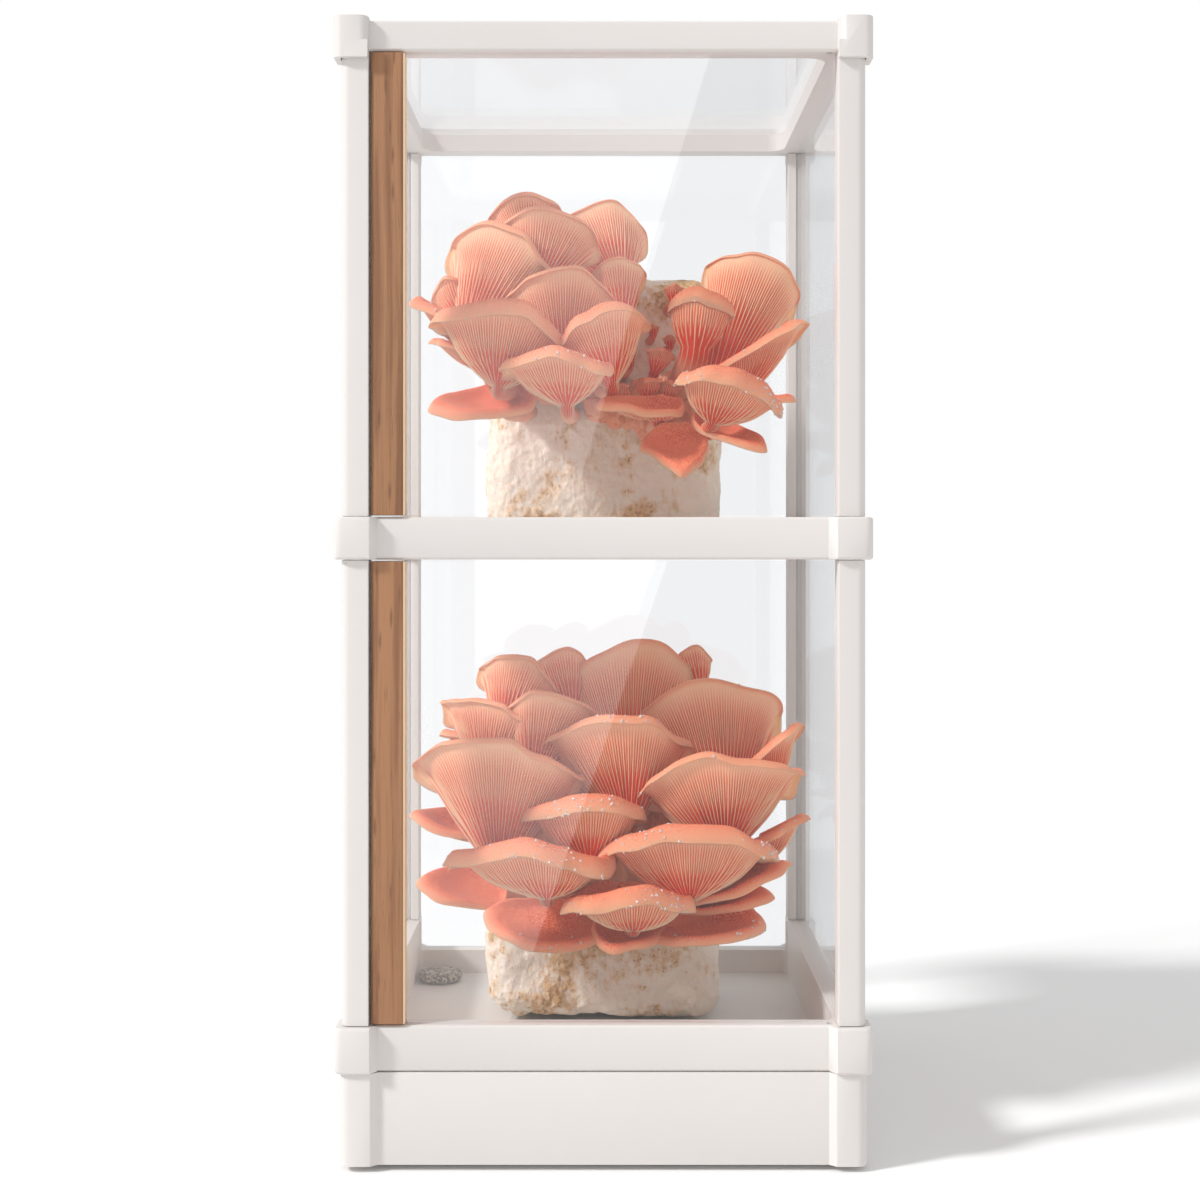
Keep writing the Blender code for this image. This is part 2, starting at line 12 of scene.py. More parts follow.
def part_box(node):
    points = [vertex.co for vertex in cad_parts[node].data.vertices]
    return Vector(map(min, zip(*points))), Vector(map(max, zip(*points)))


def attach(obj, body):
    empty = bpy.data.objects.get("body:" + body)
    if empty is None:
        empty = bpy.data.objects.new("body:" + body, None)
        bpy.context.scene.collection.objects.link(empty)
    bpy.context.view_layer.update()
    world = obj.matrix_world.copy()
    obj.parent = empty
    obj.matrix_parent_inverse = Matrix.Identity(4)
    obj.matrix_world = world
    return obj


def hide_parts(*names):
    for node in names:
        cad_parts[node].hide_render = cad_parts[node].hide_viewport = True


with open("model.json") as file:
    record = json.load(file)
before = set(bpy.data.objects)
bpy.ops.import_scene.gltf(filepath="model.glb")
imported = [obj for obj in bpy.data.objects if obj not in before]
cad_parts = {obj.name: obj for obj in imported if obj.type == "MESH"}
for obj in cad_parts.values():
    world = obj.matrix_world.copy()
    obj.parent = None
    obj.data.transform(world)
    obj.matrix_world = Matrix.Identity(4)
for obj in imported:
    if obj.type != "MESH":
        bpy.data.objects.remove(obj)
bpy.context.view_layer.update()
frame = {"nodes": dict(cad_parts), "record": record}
MM = 0.001


# ------------------------------------------------------------------ white shell
# The base, trays, posts and top frame: warm white ABS, moulded with a fine satin
# grain. The posts push into the corner blocks, so nothing but rounded edges shows.
class Wire:
    """A shader socket that can be used in arithmetic; each operator adds a Math node."""

    def __init__(self, tree, socket):
        self.tree = tree
        self.socket = socket

    def math(self, operation, left, right=0.5):
        node = self.tree.nodes.new("ShaderNodeMath")
        node.operation = operation
        for socket, value in zip(node.inputs, (left, right)):
            if isinstance(value, Wire):
                self.tree.links.new(value.socket, socket)
            else:
                socket.default_value = value
        return Wire(self.tree, node.outputs[0])

    def __add__(self, other):
        return self.math("ADD", self, other)

    def __radd__(self, other):
        return self.math("ADD", other, self)

    def __sub__(self, other):
        return self.math("SUBTRACT", self, other)

    def __rsub__(self, other):
        return self.math("SUBTRACT", other, self)

    def __mul__(self, other):
        return self.math("MULTIPLY", self, other)

    def __rmul__(self, other):
        return self.math("MULTIPLY", other, self)

    def __pow__(self, other):
        return self.math("POWER", self, other)

    def at_least(self, other):
        return self.math("MAXIMUM", self, other)

    def to_and_fro(self, reach):
        """Up from 0 to reach and down again, over and over, as the value grows."""
        return self.math("PINGPONG", self, reach)


def linear(red, green, blue):
    """A colour as seen on a screen, 0 to 255, turned into the renderer's linear one."""
    return tuple(((value / 255 + 0.055) / 1.055) ** 2.4 for value in (red, green, blue)) + (1.0,)


class Finish:
    """A node material: constants go on the Principled sockets, patterns are wired in."""

    def __init__(self, name, **constants):
        self.material = bpy.data.materials.new(name)
        self.material.use_nodes = True
        self.tree = self.material.node_tree
        self.shader = self.tree.nodes["Principled BSDF"]
        for title, value in constants.items():
            self.shader.inputs[title.replace("_", " ")].default_value = value
        self.place = self.node("TexCoord", out="Object")

    def node(self, kind, settings=None, out=0, in_order=(), **values):
        """Any node: its settings first, then its sockets by name, or in order where names repeat."""
        node = self.tree.nodes.new("ShaderNode" + kind)
        for title, value in (settings or {}).items():
            setattr(node, title, value)
        for title, value in values.items():
            socket = self.find(node.inputs, title.replace("_", " "))
            if isinstance(value, Wire):
                self.tree.links.new(value.socket, socket)
            else:
                socket.default_value = value
        for socket, wire in zip(node.inputs, in_order):
            self.tree.links.new(wire.socket, socket)
        socket = node.outputs[out] if isinstance(out, int) else self.find(node.outputs, out)
        return Wire(self.tree, socket)

    @staticmethod
    def find(sockets, title):
        for socket in sockets:
            if socket.name == title and socket.enabled:
                return socket
        raise KeyError(title)

    def noise(self, scale, detail=2.0, roughness=0.5, vector=None, out=0):
        fields = {"Vector": vector or self.place, "Scale": scale, "Detail": detail, "Roughness": roughness}
        return self.node("TexNoise", None, out, **fields)

    def cells(self, scale, vector=None):
        """The distance to the middle of the nearest of many irregular cells."""
        fields = {"Vector": vector or self.place, "Scale": scale}
        return self.node("TexVoronoi", {"feature": "F1"}, "Distance", **fields)

    def stretched(self, scale, vector=None):
        return self.node("Mapping", Vector=vector or self.place, Scale=scale)

    def band(self, value, low, high, start=0.0, stop=1.0):
        """A smooth step from start to stop as the value goes from low to high."""
        settings = {"interpolation_type": "SMOOTHSTEP"}
        fields = {"Value": value, "From_Min": low, "From_Max": high, "To_Min": start, "To_Max": stop}
        return self.node("MapRange", settings, **fields)

    def mix(self, factor, first, second, blend="MIX"):
        settings = {"data_type": "RGBA", "blend_type": blend}
        return self.node("Mix", settings, "Result", Factor=factor, A=first, B=second)

    def feed(self, title, wire):
        self.tree.links.new(wire.socket, self.shader.inputs[title.replace("_", " ")])

    def show(self, surface):
        """Let another shader than the plain Principled one be the surface."""
        self.tree.links.new(surface.socket, self.tree.nodes["Material Output"].inputs["Surface"])

    def bump(self, height, distance, strength=1.0):
        self.feed("Normal", self.node("Bump", Height=height, Distance=distance, Strength=strength))


def dress(piece, finish):
    piece.data.materials.clear()
    piece.data.materials.append(finish.material)


SHELL_WHITE = linear(224, 219, 216)
SHELL_SHADE = linear(219, 214, 210)
SHELL_EDGE = 1.1 * MM

shell = Finish("satin_white_shell", Roughness=0.42, Specular_IOR_Level=0.42)
shell_clouds = shell.noise(9.0, 3.0, 0.6)
shell_grain = shell.noise(1900.0, 2.0, 0.6)
shell.feed("Base Color", shell.mix(shell_clouds, SHELL_WHITE, SHELL_SHADE))
shell.feed("Roughness", 0.36 + 0.14 * shell_grain)
shell.bump(shell_grain, 0.00003, 0.35)


def body_of(node):
    for body, members in frame["record"]["behaviour"]["bodies"].items():
        if node in members:
            return body
    return "cabinet"


def soften(node, width, finish, segments=3):
    """A copy of a CAD piece with its edges rounded, in place of the faceted one."""
    source = frame["nodes"][node]
    mesh = source.data.copy()
    mesh.name = "soft_" + node
    bm = bmesh.new()
    bm.from_mesh(mesh)
    bmesh.ops.remove_doubles(bm, verts=bm.verts, dist=1e-6)
    bmesh.ops.dissolve_limit(bm, angle_limit=radians(1), verts=bm.verts, edges=bm.edges)
    bm.to_mesh(mesh)
    bm.free()
    piece = bpy.data.objects.new("soft_" + node, mesh)
    bpy.context.scene.collection.objects.link(piece)
    if width:
        bevel = piece.modifiers.new("edges", "BEVEL")
        bevel.width = width
        bevel.segments = segments
        bevel.limit_method = "ANGLE"
        bevel.angle_limit = radians(40)
        bevel.harden_normals = True
        bevel.use_clamp_overlap = True
    mesh.shade_smooth()
    mesh.set_sharp_from_angle(angle=radians(50))
    dress(piece, finish)
    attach(piece, body_of(node))
    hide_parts(node)
    return piece


for node in ("base_housing", "lower_tray", "middle_tray", "top_frame"):
    soften(node, SHELL_EDGE, shell)
for tier in ("lower", "upper"):
    for corner in ("front_left", "front_right", "back_left", "back_right"):
        soften(f"{tier}_post_{corner}", 0.5 * MM, shell, 2)
dress(frame["nodes"]["base_plate"], shell)


# ------------------------------------------------------------------ feet
# Four pale rubber pads, pressed out of sheet and glued into the base corners.
pads = Finish("pale_rubber", Roughness=0.8)
pad_grain = pads.noise(700.0, 3.0)
pads.feed("Base Color", pads.mix(pad_grain, linear(205, 202, 198), linear(180, 176, 172)))
pads.bump(pad_grain, 0.0001, 0.5)
for node in frame["nodes"]:
    if node.startswith("foot_"):
        dress(frame["nodes"][node], pads)


# ------------------------------------------------------------------ clear panes
# Three-millimetre cast acrylic with polished edges: side and back panes slide in
# the post grooves, the lid drops into the top frame. A faint haze lies on them.
pane = Finish("clear_acrylic")
pane.tree.nodes.remove(pane.shader)
see_through = pane.node("BsdfTransparent", Color=(0.976, 0.979, 0.983, 1.0))
gloss = pane.node("BsdfGlossy", Color=(1.0, 1.0, 1.0, 1.0), Roughness=0.01)
slant = pane.node("LayerWeight", None, "Facing", Blend=0.5)
HEAD_ON = 0.036          # share of the light that polished acrylic mirrors when seen face on
mirrored = HEAD_ON + 0.9 * slant ** 5.0 + 0.004 * pane.noise(6.0, 3.0)
sheet = pane.node("MixShader", in_order=(mirrored, see_through, gloss))
open_to_light = pane.node("BsdfTransparent", Color=(1.0, 1.0, 1.0, 1.0))     # the key passes undimmed
shadow_ray = pane.node("LightPath", None, "Is Shadow Ray")
pane.show(pane.node("MixShader", in_order=(shadow_ray, sheet, open_to_light)))
for node, piece in frame["nodes"].items():
    if "pane" in node:
        dress(piece, pane)


# ------------------------------------------------------------------ wood grips
# One straight strip of oiled walnut on each door's free edge, planed square, its
# corners eased by hand, and slotted on the back edge for the pane.
wood = Finish("oiled_walnut", Specular_IOR_Level=0.35)
wood_sway = wood.noise(1.0, 2.0, 0.5, wood.stretched((16.0, 16.0, 5.0)), out="Color")
wood_shift = wood.node("VectorMath", {"operation": "SCALE"}, 0, Vector=wood_sway, Scale=0.010)
wood_place = wood.node("VectorMath", {"operation": "ADD"}, in_order=(wood.place, wood_shift))
wood_rings = wood.noise(1.0, 4.0, 0.6, wood.stretched((210.0, 120.0, 5.5), wood_place))
wood_pores = wood.noise(1.0, 3.0, 0.7, wood.stretched((1500.0, 1500.0, 42.0), wood_place))
wood_knots = wood.cells(5.0, wood.stretched((46.0, 30.0, 7.0), wood_place))
wood_dark = wood.band(wood_rings, 0.42, 0.66)
wood_body = wood.mix(wood_dark, linear(168, 122, 88), linear(140, 98, 70))
wood_knotty = wood.mix(wood.band(wood_knots, 0.30, 0.06, 0.0, 0.7), wood_body, linear(112, 78, 56))
wood_porous = wood.mix(wood.band(wood_pores, 0.58, 0.72, 0.0, 0.55), wood_knotty, linear(108, 74, 52))
wood_across = wood.node("SeparateXYZ", None, "X", Vector=wood.place)
# A thin pale band along the eased corner beside the pane is a painted highlight, where that edge catches the
# light.
EASED = 0.7 * MM
grip_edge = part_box("lower_wood_grip")[1].x
wood_edge_highlight = wood.band(wood_across, grip_edge - EASED - 0.3 * MM, grip_edge - EASED)
wood.feed("Base Color", wood.mix(wood_edge_highlight, wood_porous, linear(255, 226, 190)))
wood.feed("Roughness", 0.48 + 0.16 * wood_pores)
wood.bump(wood_pores, 0.00012, 0.5)
for tier in ("lower", "upper"):
    soften(f"{tier}_wood_grip", EASED, wood)


# ------------------------------------------------------------------ porous stone
# A water-worn disc of pale pumice that lies loose on the lower floor. Its bubbles
# are open pits on a surface rubbed smooth.
def shape_mesh(name, points, faces, finish):
    """A smooth closed piece from arrays of points (metres) and faces, its faces turned outward."""
    mesh = bpy.data.meshes.new(name)
    mesh.from_pydata([tuple(point) for point in points], [], [tuple(face) for face in faces])
    bm = bmesh.new()
    bm.from_mesh(mesh)
    bmesh.ops.remove_doubles(bm, verts=bm.verts, dist=1e-7)
    bmesh.ops.recalc_face_normals(bm, faces=bm.faces)
    bm.to_mesh(mesh)
    bm.free()
    mesh.shade_smooth()
    piece = bpy.data.objects.new(name, mesh)
    bpy.context.scene.collection.objects.link(piece)
    dress(piece, finish)
    return piece


def box_grid(steps):
    """Points and faces of a cube from -1 to 1, each side cut into steps by steps."""
    line = np.linspace(-1, 1, steps + 1)
    across, down = np.meshgrid(line, line, indexing="ij")
    points, faces = [], []
    for axis in range(3):
        for side in (-1, 1):
            start = len(points) * (steps + 1) ** 2
            grid = np.empty((steps + 1, steps + 1, 3))
            grid[..., axis] = side
            grid[..., (axis + 1) % 3] = across
            grid[..., (axis + 2) % 3] = down
            points.append(grid.reshape(-1, 3))
            index = start + np.arange((steps + 1) ** 2).reshape(steps + 1, steps + 1)
            corners = (index[:-1, :-1], index[1:, :-1], index[1:, 1:], index[:-1, 1:])
            faces.append(np.stack(corners, -1).reshape(-1, 4))
    return np.concatenate(points), np.concatenate(faces)


def pillow(low, high, radius, steps):
    """Points, outward directions and faces of a box from low to high with rounded edges."""
    grid, faces = box_grid(steps)
    half = np.array(high - low) / 2
    radius = np.minimum(radius, half)
    core = np.clip(grid * half, radius - half, half - radius)
    outward = (grid * half - core) / radius
    outward /= np.linalg.norm(outward, axis=1, keepdims=True)
    return core + outward * radius + np.array(low + high) / 2, outward, faces


def rough(points, scale, octaves, seed):
    """Fractal noise, about -1 to 1, at each point; scale in metres."""
    shift = Vector((seed * 7.3, seed * 3.1, seed * 5.7))
    return np.array([noise.fractal(Vector(point) / scale + shift, 0.6, 2.1, octaves) for point in points])


stone = Finish("pumice", Roughness=0.85, Specular_IOR_Level=0.3)
stone_speckle = stone.noise(420.0, 4.0, 0.7)
# The pits are dented by the bump and coloured dark: painted shade in the holes.
stone_pit_dents_and_shade = stone.band(stone.cells(420.0), 0.32, 0.16)
stone_tone = stone.mix(stone.band(stone_speckle, 0.4, 0.6), linear(196, 186, 174), linear(122, 110, 98))
stone.feed("Base Color", stone.mix(stone_pit_dents_and_shade, stone_tone, linear(82, 72, 62)))
stone.bump(0.5 * stone_speckle - stone_pit_dents_and_shade, 0.0009, 1.0)
stone_low, stone_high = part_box("porous_stone")
stone_points, stone_out, stone_faces = pillow(stone_low, stone_high, (stone_high.z - stone_low.z) / 2, 60)
stone_middle = (stone_low + stone_high) / 2
# Draw the grid's square plan in to a circle.
offset = stone_points - np.array(stone_middle)
span = np.hypot(offset[:, 0], offset[:, 1]).clip(1e-6)
squareness = np.maximum(np.abs(offset[:, 0]), np.abs(offset[:, 1])) / span
stone_points[:, :2] = np.array(stone_middle)[:2] + offset[:, :2] * squareness[:, None]
stone_points += stone_out * (rough(stone_points, 0.008, 3, 1) * 0.4 * MM)[:, None]
stone_points[:, 2] = np.maximum(stone_points[:, 2], stone_low.z)
pumice = shape_mesh("pumice_disc", stone_points, stone_faces, stone)
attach(pumice, "cabinet")
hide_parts("porous_stone")


# ------------------------------------------------------------------ substrate
# Sterilised sawdust and straw bound by white mycelium, set in a soft bag and then
# turned out: the bag's creases stay at the foot, and tan crumbs show through.
crumb = Finish(
    "colonised_substrate", Roughness=0.82, Specular_IOR_Level=0.25, Subsurface_Weight=0.1,
    Subsurface_Scale=0.003
)
crumb_cloud = crumb.noise(24.0, 5.0, 0.62)
crumb_fine = crumb.noise(150.0, 6.0, 0.66)
crumb_speck = crumb.noise(330.0, 3.0, 0.6)
crumb_cells = crumb.cells(190.0)
crumb_straw = crumb.noise(1.0, 5.0, 0.65, crumb.stretched((240.0, 240.0, 90.0)))
crumb_tan = crumb.band(crumb_cloud + 0.3 * crumb_fine + 0.3 * crumb_straw, 0.78, 0.92)
crumb_white = crumb.mix(crumb_fine, linear(255, 246, 234), linear(252, 230, 206))
crumb_body = crumb.mix(crumb_tan, crumb_white, linear(232, 192, 142))
crumb_brown = crumb.band(crumb_speck + 0.30 * crumb_tan, 0.74, 0.90, 0.0, 0.7)
crumb.feed("Base Color", crumb.mix(crumb_brown, crumb_body, linear(178, 136, 94)))
crumb.bump(crumb_fine + 0.4 * crumb_cells + 0.6 * crumb_straw, 0.0022, 0.9)
LUMPS = 2.6              # mm, broad swellings
DIMPLES = 1.3            # mm, the crumbs' own relief
BAG_CREASE = 2.2         # mm, depth of the creases at the foot
INSET = 2.4              # mm that the surface stands back, so that its lumps stay on the block's own faces
for tier, seed in (("lower", 3), ("upper", 8)):
    block_low, block_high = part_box(f"{tier}_substrate_block")
    points, outward, faces = pillow(block_low, block_high, 0.022, 110)
    swell = rough(points, 0.050, 2, seed) * LUMPS + rough(points, 0.014, 4, seed + 1) * DIMPLES
    height = (points[:, 2] - block_low.z) / (block_high.z - block_low.z)
    folds = np.abs(rough(points * (1, 1, 0.35), 0.022, 2, seed + 2))
    swell -= BAG_CREASE * np.exp(-height / 0.12) * (1 - folds * 3).clip(0)
    points += outward * ((swell - INSET) * MM)[:, None]
    points[:, 2] = np.maximum(points[:, 2], block_low.z)
    block = shape_mesh(f"{tier}_fruiting_block", points, faces, crumb)
    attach(block, "cabinet")
    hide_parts(f"{tier}_substrate_block")


# ------------------------------------------------------------------ oyster mushrooms
# Flesh that grows in shelving clumps from the face of each block. A stem widens into
# a funnel; thin gills run down it, forking toward a smooth, rolled, velvety margin.
flesh = Finish(
    "oyster_flesh", Subsurface_Weight=0.45, Subsurface_Scale=0.003, Subsurface_Radius=(1.0, 0.38, 0.22),
    Specular_IOR_Level=0.28, Sheen_Weight=0.05
)
# The gill_run map: across it counts the long gills; along it goes -1 to 0 up the stem, 0 to 1 up the gills
# to the margin, and 1 to 2 over the top. Ripeness reddens the youngest buttons.
run = flesh.node("UVMap", {"uv_map": "gill_run"}, "UV")
around = flesh.node("SeparateXYZ", None, "X", Vector=run)
along = flesh.node("SeparateXYZ", None, "Y", Vector=run)
ripeness = flesh.node("Attribute", {"attribute_name": "ripeness"}, "Fac")


def blades(repeat, thick):
    """Thin ridges, one at every 1/repeat of the way between two long gills."""
    return flesh.band((around * repeat).to_and_fro(0.5), 0.0, thick, 1.0, 0.0)


long_blades = blades(1.0, 0.13)
half_blades = blades(2.0, 0.24) * flesh.band(along, 0.24, 0.38)
short_blades = blades(4.0, 0.42) * flesh.band(along, 0.46, 0.62)
crest = long_blades.at_least(half_blades).at_least(short_blades)
depth = flesh.band(along, -0.6, -0.05) * flesh.band(along, 0.96, 0.70)
# Between the gills the colour turns a deep dark coral: painted shade in the grooves, darkest toward the
# throat, while the ridges stay pale.
groove_shade = (1.0 - crest) * depth
blotch = flesh.noise(38.0, 3.0, 0.55)
velvet = flesh.noise(850.0, 4.0, 0.7)
fibre = flesh.noise(1.0, 3.0, 0.6, flesh.stretched((420.0, 420.0, 60.0)))
ridge_tone = flesh.mix(flesh.band(along, 0.05, 0.75), linear(255, 208, 168), linear(255, 200, 162))
groove_shade_tone = flesh.mix(flesh.band(along, 0.25, 0.85), linear(228, 62, 22), linear(234, 104, 64))
gill_side = flesh.mix(groove_shade, ridge_tone, groove_shade_tone)
top_tone = flesh.mix(flesh.band(velvet, 0.43, 0.57), linear(250, 150, 112), linear(224, 94, 58))
top_side = flesh.mix(flesh.band(blotch, 0.35, 0.7), top_tone, linear(244, 136, 98))
# The rolled margin is paler: a painted highlight along the rim.
top_with_rim_highlight = flesh.mix(flesh.band(along, 1.13, 0.99), top_side, linear(253, 172, 134))
skin = flesh.mix(flesh.band(along, 0.90, 0.985), gill_side, top_with_rim_highlight)
stem_tone = flesh.mix(fibre, linear(250, 190, 158), linear(236, 132, 96))
bare = flesh.mix(flesh.band(along, -0.12, -0.75), skin, stem_tone)
flesh.feed("Base Color", flesh.mix(ripeness, bare, linear(232, 96, 62), "MULTIPLY"))
flesh.feed("Roughness", 0.42 + 0.2 * velvet)
pile = velvet * flesh.band(along, 0.8, 1.0, 0.3, 1.1)
flesh.bump(crest * depth * 0.7 + pile + 0.12 * fibre, 0.0007, 0.75)

# Each mushroom, in millimetres: where its stem leaves the block (X, Z), its throat (X, Y, Z) where the
# gills run together, the way its front edge points and the way its funnel opens, the spread of the cap
# to the left and right, its reach in front and behind, the rise of the rim over the throat, and the curl
# of the margin. The first table of a tier holds the mushrooms that the CAD part has, grown fuller than its
# solids, which have to keep clear of each other; the second holds smaller ones that fill the clump out.
LOWER_FLUSH = {
    "crown_fan":
        ((8, 202), (18, -48, 225), (0, -1, 1), (0.02, 0.7, 0.7), (50, 55), (34, 9), 54, 4),
    "right_crown_fan":
        ((42, 198), (70, -66, 208), (0.1, -1, 0.8), (-0.14, 0.5, 0.85), (51, 52), (32, 9), 48, 5),
    "centre_funnel":
        ((14, 182), (16, -84, 200), (0, -1, 0.1), (0, 0.15, 1), (58, 38), (32, 8), 35, 8),
    "left_crown_fan":
        ((-28, 208), (-61, -38, 244), (-0.3, -1, 0.2), (0.33, 0.3, 0.9), (32, 24), (20, 8), 30, 5),
    "left_upper_fan":
        ((-48, 194), (-69, -66, 218), (-0.2, -1, 0.1), (0.3, 0.1, 0.94), (46, 24), (24, 7), 30, 5),
    "left_funnel":
        ((-36, 168), (-60, -92, 181), (-0.1, -1, 0.1), (0.13, 0.2, 0.97), (62, 42), (32, 9), 40, 7),
    "left_tongue":
        ((-60, 164), (-78, -60, 176), (-1, -0.3, 0.1), (0.1, -0.3, 0.95), (19, 19), (46, 8), 9, 4),
    "low_left_tongue":
        ((-56, 130), (-70, -44, 141), (-1, -0.3, 0), (0.1, -0.6, 0.8), (21, 21), (46, 8), 4, 4),
    "front_left_shelf":
        ((-28, 146), (-34, -104, 149), (0, -1, 0), (0, -0.15, 1), (62, 44), (27, 9), 13, 12),
    "small_centre_cap":
        ((-6, 164), (-8, -100, 170), (0, -1, 0), (0, -0.05, 1), (40, 36), (24, 9), 19, 11),
    "right_funnel":
        ((46, 170), (72, -94, 182), (0, -1, 0.1), (-0.1, 0.15, 1), (50, 54), (31, 8), 32, 7),
    "front_right_cap":
        ((34, 144), (52, -102, 147), (0, -1, 0), (0, 0, 1), (56, 54), (28, 9), 20, 12),
    "low_right_cap":
        ((56, 114), (60, -72, 122), (0.3, -1, -0.35), (0.05, -0.5, 0.86), (34, 40), (30, 8), 4, 5),
    "low_front_cap":
        ((10, 126), (18, -104, 131), (0, -1, 0), (0, -0.3, 1), (41, 39), (24, 8), 7, 12),
    "smooth_low_cap":
        ((-26, 108), (-32, -66, 128), (-0.1, -1, -0.6), (0, -0.75, 0.66), (42, 38), (30, 8), 2, 5),
}
LOWER_EXTRA = {
    "left_front_fan":
        ((-30, 188), (-44, -80, 222), (0, -1, 0.4), (0.05, 0.35, 0.93), (18, 42), (24, 8), 32, 5),
    "tucked_fan":
        ((-14, 205), (-20, -30, 252), (0, -1, 0.8), (-0.1, 0.6, 0.8), (30, 18), (18, 7), 28, 4),
    "right_back_cap":
        ((62, 178), (100, -68, 199), (0.75, -0.6, 0.5), (-0.45, 0.2, 0.87), (24, 24), (50, 6), 22, 5),
    "right_side_cap":
        ((64, 160), (94, -68, 158), (0.85, -0.5, 0.3), (-0.3, 0.1, 0.95), (24, 24), (46, 6), 14, 5),
    "right_low_tongue":
        ((48, 132), (60, -72, 140), (0.9, -0.4, 0.25), (-0.25, -0.2, 0.95), (24, 24), (62, 6), 8, 4),
    "right_under_tongue":
        ((46, 122), (54, -60, 135), (0.95, -0.3, 0.05), (-0.1, -0.4, 0.9), (18, 18), (54, 6), 4, 4),
    "low_middle_cap":
        ((8, 112), (10, -80, 124), (0, -1, -0.6), (0, -0.6, 0.8), (18, 28), (24, 6), 0, 4),
    "left_wing":
        ((-62, 176), (-70, -60, 196), (-1, -0.2, 0.1), (0, 0.2, 0.95), (14, 14), (34, 6), 8, 4),
    "left_tip":
        ((-58, 196), (-74, -50, 226), (-1, -0.1, 0.2), (0, 0.2, 0.95), (12, 12), (30, 6), 8, 4),
    "back_right_tip":
        ((50, 205), (62, -24, 262), (0.2, -1, 0.8), (-0.2, 0.6, 0.8), (12, 14), (14, 6), 24, 3),
    "tucked_button":
        ((-26, 150), (-30, -84, 162), (0, -1, 0.2), (0, 0.1, 1), (7, 7), (7, 5), 9, 2),
    "shaded_button":
        ((-14, 176), (-14, -88, 190), (0, -1, 0.2), (0, 0.1, 1), (8, 6), (7, 5), 9, 2),
    "low_button":
        ((-14, 128), (-16, -84, 138), (0, -1, 0.1), (0, 0, 1), (7, 7), (7, 5), 6, 2),
}
UPPER_FLUSH = {
    "crown_fan":
        ((0, 508), (8, -30, 534), (0, -1, 1), (-0.15, 0.7, 0.7), (42, 26), (20, 8), 38, 5),
    "back_fan":
        ((-32, 508), (-48, -22, 552), (0, -1, 0.5), (0, 0.5, 0.85), (27, 22), (14, 6), 22, 5),
    "left_fan":
        ((-48, 490), (-78, -60, 500), (-0.2, -1, 0.4), (0.4, 0.3, 0.85), (42, 34), (24, 8), 40, 8),
    "centre_funnel":
        ((-20, 480), (-24, -72, 474), (0, -1, 0.3), (0, 0.3, 0.95), (42, 34), (26, 8), 36, 6),
    "right_small_fan":
        ((10, 490), (12, -50, 504), (0, -1, 0.4), (0, 0.4, 0.9), (20, 15), (14, 6), 28, 3),
    "far_left_tongue":
        ((-56, 466), (-80, -64, 478), (-1, -0.3, 0.3), (0.25, -0.1, 0.95), (18, 18), (48, 9), 12, 6),
    "left_shelf":
        ((-46, 462), (-64, -90, 456), (0, -1, 0), (0.2, 0.02, 1), (48, 36), (28, 8), 22, 12),
    "low_left_cap":
        ((-48, 446), (-62, -58, 446), (-1, -0.5, -0.1), (-0.1, -0.5, 0.85), (22, 24), (46, 22), 3, 5),
    "front_funnel":
        ((-20, 444), (-22, -102, 444), (0, -1, 0), (0, -0.1, 1), (41, 30), (24, 8), 15, 8),
    "tall_right_fan":
        ((58, 462), (80, -34, 486), (0.3, -1, 0.6), (0.3, 0.56, 0.8), (30, 36), (22, 8), 52, 7),
    "trumpet":
        ((40, 440), (57, -66, 482), (0, -1, 0), (0.1, -0.05, 1), (20, 22), (15, 9), 14, 10),
    "long_right_tongue":
        ((58, 442), (84, -62, 450), (0.9, -0.3, 0.42), (-0.4, 0.2, 0.9), (20, 20), (62, 7), 14, 6),
    "dewy_cap":
        ((50, 436), (66, -96, 434), (0.2, -1, 0), (0.3, -0.25, 0.9), (30, 38), (24, 8), 12, 11),
    "hanging_cap":
        ((40, 430), (46, -78, 424), (0.1, -0.5, -0.85), (0, -0.85, 0.5), (22, 19), (30, 8), 2, 4),
}
UPPER_EXTRA = {
    "front_fan":
        ((-34, 500), (-44, -55, 522), (0, -1, 0.5), (0.05, 0.45, 0.88), (28, 42), (24, 8), 30, 6),
    "far_left_fan":
        ((-62, 484), (-86, -50, 498), (-0.6, -1, 0.4), (-0.2, 0.3, 0.9), (20, 10), (16, 6), 20, 4),
    "right_front_cap":
        ((-4, 462), (4, -96, 458), (0.15, -1, 0.1), (-0.3, 0.1, 1), (25, 34), (22, 8), 25, 8),
    "lower_left_tongue":
        ((-60, 450), (-70, -70, 465), (-1, -0.3, 0.3), (0.1, -0.1, 0.95), (15, 15), (40, 6), 10, 4),
    "tall_right_wing":
        ((70, 470), (88, -35, 480), (0.6, -0.6, 0.7), (-0.2, 0.6, 0.8), (12, 18), (18, 6), 24, 3),
    "right_tongue":
        ((58, 438), (84, -70, 443), (0.95, -0.3, -0.05), (0, -0.2, 0.95), (13, 13), (36, 6), 2, 4),
    "right_drooping_tongue":
        ((54, 434), (66, -80, 430), (0.8, -0.4, -0.5), (0.2, -0.5, 0.85), (13, 13), (40, 14), 0, 4),
    "left_reaching_cap":
        ((30, 436), (34, -80, 438), (-0.95, -0.4, -0.35), (0.1, -0.4, 0.9), (13, 15), (44, 16), 4, 5),
}
